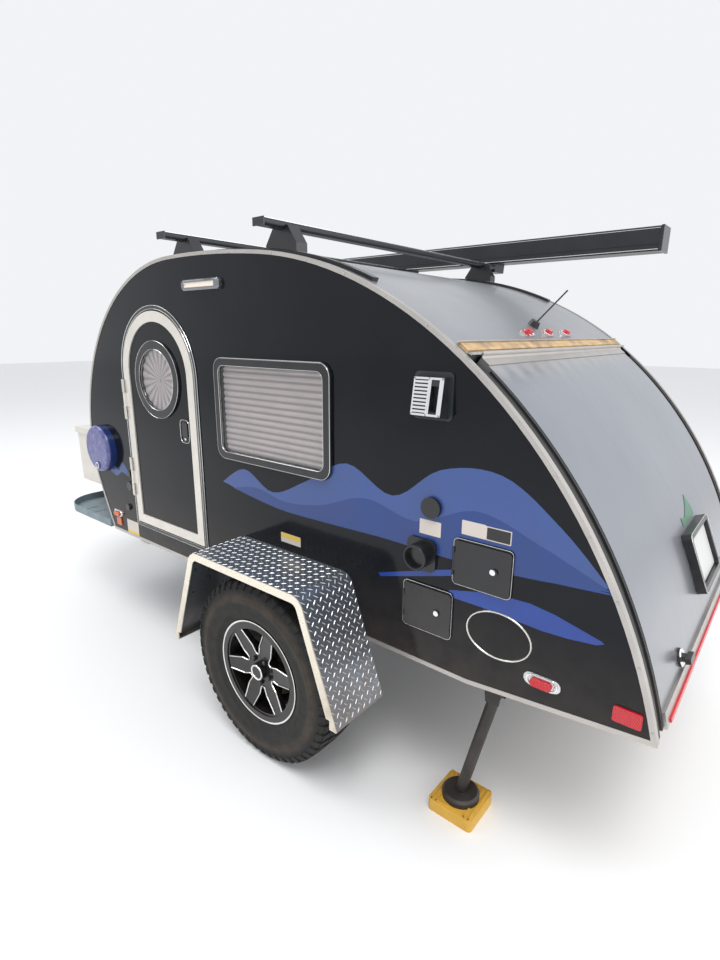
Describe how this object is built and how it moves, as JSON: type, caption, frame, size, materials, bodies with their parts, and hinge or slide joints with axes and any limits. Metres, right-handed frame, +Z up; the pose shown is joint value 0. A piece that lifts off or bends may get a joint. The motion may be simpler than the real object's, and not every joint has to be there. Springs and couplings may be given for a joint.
{
  "type": "teardrop trailer",
  "caption": "Small single-axle teardrop camping trailer with arched side doors, rear galley hatch, tongue box, roof bars and a side awning case.",
  "frame": {"origin": "on the ground, midway along the overall length and on the centre plane", "axes": "+X forward to the hitch, +Y to the left side, +Z up"},
  "size_m": [4.0949, 2.06, 2.076],
  "materials": {
    "skin": "glossy charcoal sheet",
    "roof_skin": "satin silver sheet",
    "bright": "satin extrusion",
    "black": "satin black",
    "rubber": "matt",
    "tyre": "matt",
    "rim": "gloss black with machined edges",
    "steel": "black coated steel",
    "zinc": "zinc plated",
    "tread_plate": "diamond plate",
    "wood": "bare wood",
    "ply": "varnished plywood",
    "fabric": "woven",
    "glass": "clear",
    "chrome": "polished",
    "amber": "lens",
    "red": "lens",
    "white": "moulded",
    "grey_plastic": "moulded",
    "blue": "moulded",
    "yellow": "moulded"
  },
  "bodies": {
    "trailer": {"access_frames": "black", "antenna": "black", "awning_case": "grey_plastic", "axle": "steel", "chassis": "steel", "coupler": "steel", "crossbars": "bright", "door_frames": "bright", "edge_trims": "bright", "fenders": "tread_plate", "floor": "ply", "front_lamps": "amber", "galley": "ply", "hatch_hinge_rail": "bright", "hatch_jambs": "rubber", "hinge_wood_strip": "wood", "jack_tube": "zinc", "levelling_blocks": "yellow", "mattress": "fabric", "porch_lights": "white", "rack_feet": "black", "range_vent": "chrome", "rear_lamps": "red", "roof_panel": "roof_skin", "roof_tracks": "black", "round_pod": "blue", "side_wall_left": "skin", "side_wall_right": "skin", "tongue_box": "bright", "tongue_tray": "grey_plastic", "wall_sockets": "grey_plastic", "window_frames": "black", "window_panes": "glass", "window_shades": "fabric"},
    "wheel_left": {"tyre_left": "tyre", "rim_left": "rim", "hub_left": "steel"},
    "wheel_right": {"tyre_right": "tyre", "rim_right": "rim", "hub_right": "steel"},
    "door_left": {"door_left_leaf": "skin", "door_left_band": "bright", "door_left_fittings": "black", "door_left_glass": "glass", "door_left_shade": "fabric"},
    "door_right": {"door_right_leaf": "skin", "door_right_band": "bright", "door_right_fittings": "black", "door_right_glass": "glass", "door_right_shade": "fabric"},
    "hatch": {"hatch_panel": "roof_skin", "hatch_rails": "bright", "hatch_fittings": "black", "hatch_light_bar": "red"},
    "access_door_a": {"access_door_a": "black"},
    "access_door_b": {"access_door_b": "black"},
    "tongue_box_lid": {"tongue_box_lid": "bright"},
    "jack_leg": {"jack_leg": "zinc"},
    "stabiliser_left": {"stabiliser_left": "zinc"},
    "stabiliser_right": {"stabiliser_right": "zinc"}
  },
  "joints": [
    {"name": "wheel_left_spin", "type": "hinge", "parent": "trailer", "child": "wheel_left", "pos_m": [-0.75, 0.888, 0.362], "axis": [0, 1, 0], "continuous": true},
    {"name": "wheel_right_spin", "type": "hinge", "parent": "trailer", "child": "wheel_right", "pos_m": [-0.75, -0.888, 0.362], "axis": [0, 1, 0], "continuous": true},
    {"name": "door_left_hinge", "type": "hinge", "parent": "trailer", "child": "door_left", "pos_m": [0.363, 0.7925, 1.0925], "axis": [0, 0, -1], "range_deg": [0, 100]},
    {"name": "door_right_hinge", "type": "hinge", "parent": "trailer", "child": "door_right", "pos_m": [0.363, -0.7925, 1.0925], "axis": [0, 0, 1], "range_deg": [0, 100]},
    {"name": "hatch_hinge", "type": "hinge", "parent": "trailer", "child": "hatch", "pos_m": [-1.45177, 0, 1.54464], "axis": [0, 1, 0], "range_deg": [0, 75]},
    {"name": "access_a_hinge", "type": "hinge", "parent": "trailer", "child": "access_door_a", "pos_m": [-1.4515, 0.789, 0.952], "axis": [0, 0, -1], "range_deg": [0, 105]},
    {"name": "access_b_hinge", "type": "hinge", "parent": "trailer", "child": "access_door_b", "pos_m": [-1.279, 0.789, 0.763], "axis": [0, 0, -1], "range_deg": [0, 105]},
    {"name": "tongue_box_lid_hinge", "type": "hinge", "parent": "trailer", "child": "tongue_box_lid", "pos_m": [0.82, 0, 1.015], "axis": [0, -1, 0], "range_deg": [0, 80]},
    {"name": "jack_leg_slide", "type": "slide", "parent": "trailer", "child": "jack_leg", "axis": [0, 0, 1], "range_m": [0, 0.2]},
    {"name": "stabiliser_left_fold", "type": "hinge", "parent": "trailer", "child": "stabiliser_left", "pos_m": [-1.575, 0.69, 0.5], "axis": [0, -1, 0], "range_deg": [0, 72]},
    {"name": "stabiliser_right_fold", "type": "hinge", "parent": "trailer", "child": "stabiliser_right", "pos_m": [-1.575, -0.69, 0.5], "axis": [0, -1, 0], "range_deg": [0, 72]}
  ]
}
